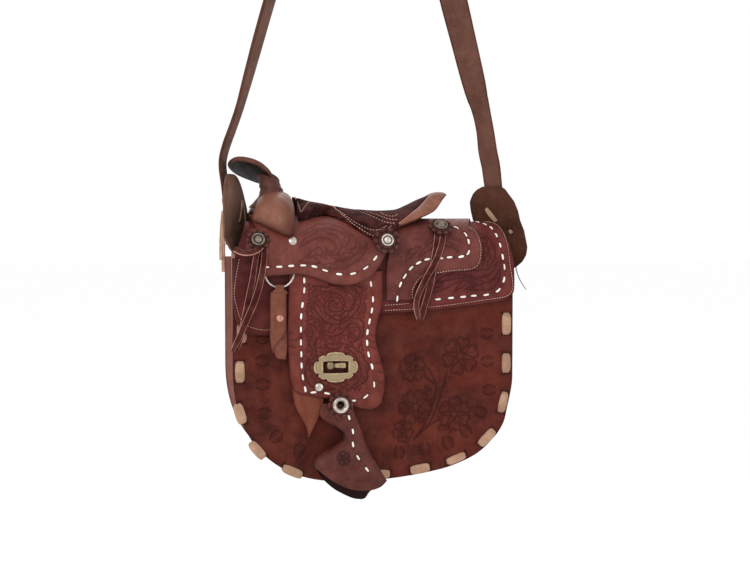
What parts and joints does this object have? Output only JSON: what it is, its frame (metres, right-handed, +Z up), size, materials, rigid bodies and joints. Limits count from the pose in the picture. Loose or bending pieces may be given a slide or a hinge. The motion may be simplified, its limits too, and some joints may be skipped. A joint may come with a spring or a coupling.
{
  "type": "saddle handbag",
  "caption": "Small leather shoulder bag whose flap is a miniature western saddle, with a turn lock in its fender, laced edges and a hanging stirrup.",
  "frame": {"origin": "underside of the shoulder strap at its highest point, where it rests on a shoulder, hook or peg", "axes": "+Z up along the hanging bag, +X to the right as seen from the front, front of the bag towards -Y"},
  "size_m": [0.2829, 0.1193, 0.6792],
  "materials": {
    "body_leather": "pull-up harness leather, red brown, satin",
    "saddle_leather": "tooled vegetable-tanned leather, dark cherry, satin",
    "light_leather": "rubbed lighter leather, satin",
    "dark_leather": "dark oiled leather, matt",
    "suede": "napped dark suede",
    "tan_lace": "undyed tan lacing, matt",
    "tree": "stiff fibre former",
    "antique_brass": "antiqued brass, satin",
    "nickel": "worn nickel plate, satin",
    "dark_metal": "oxidised copper, dull",
    "copper": "copper rivet, satin"
  },
  "bodies": {
    "strap": {"shoulder_strap": "body_leather", "strap_ties": "dark_leather"},
    "bag": {"front_panel": "body_leather", "back_panel": "body_leather", "gusset": "body_leather", "front_lacing": "tan_lace", "back_lacing": "tan_lace", "back_skirt": "saddle_leather", "lock_base": "antique_brass", "lock_backing": "antique_brass", "strap_ear_left": "body_leather", "strap_ear_right": "body_leather"},
    "toggle": {"lock_toggle": "antique_brass"},
    "flap": {"flap_skirt": "saddle_leather", "rear_jockey": "saddle_leather", "seat_jockey": "saddle_leather", "saddle_tree": "tree", "seat": "suede", "swell": "light_leather", "horn_post": "dark_leather", "horn_cap": "dark_leather", "cantle": "light_leather", "front_rosette": "dark_leather", "front_concho": "dark_metal", "seat_rosette": "dark_leather", "seat_concho": "nickel", "rear_rosette": "dark_leather", "rear_concho": "dark_metal", "jockey_rivet": "nickel", "ring_keeper": "dark_leather", "fender_top": "saddle_leather", "front_strings": "dark_leather", "rear_strings": "dark_leather"},
    "ring": {"cinch_ring": "nickel"},
    "billet": {"billet": "light_leather", "billet_rivet": "copper"},
    "fender": {"fender": "saddle_leather", "fender_tongue": "light_leather", "lock_plate": "antique_brass", "lock_plate_backing": "antique_brass", "fender_rivet": "nickel"},
    "stirrup": {"stirrup_eyelet": "nickel", "stirrup_rosette": "dark_leather", "tapadero": "dark_leather"}
  },
  "joints": [
    {"name": "strap_swing", "type": "hinge", "parent": "strap", "child": "bag", "pos_m": [0, 0, -0.48], "axis": [1, 0, 0], "range_deg": [-70, 70], "deforming": ["strap_ear_left", "strap_ear_right"]},
    {"name": "flap_open", "type": "hinge", "parent": "bag", "child": "flap", "pos_m": [0, 0.0423, -0.4723], "axis": [-1, 0, 0], "range_deg": [0, 65]},
    {"name": "fender_bend", "type": "hinge", "parent": "flap", "child": "fender", "pos_m": [0, -0.045, -0.542], "axis": [-1, 0, 0], "range_deg": [0, 60]},
    {"name": "stirrup_swing", "type": "hinge", "parent": "fender", "child": "stirrup", "pos_m": [-0.033, -0.045, -0.601], "axis": [0, 1, 0], "range_deg": [-20, 20]},
    {"name": "toggle_turn", "type": "hinge", "parent": "bag", "child": "toggle", "pos_m": [-0.0363, -0.045, -0.5676], "axis": [0, 1, 0], "range_deg": [0, 90]},
    {"name": "ring_swing", "type": "hinge", "parent": "flap", "child": "ring", "pos_m": [-0.084, -0.04605, -0.47685], "axis": [0, 1, 0], "range_deg": [0, 14]},
    {"name": "billet_swing", "type": "hinge", "parent": "ring", "child": "billet", "pos_m": [-0.084, -0.04605, -0.50115], "axis": [-1, 0, 0], "range_deg": [0, 55]}
  ]
}
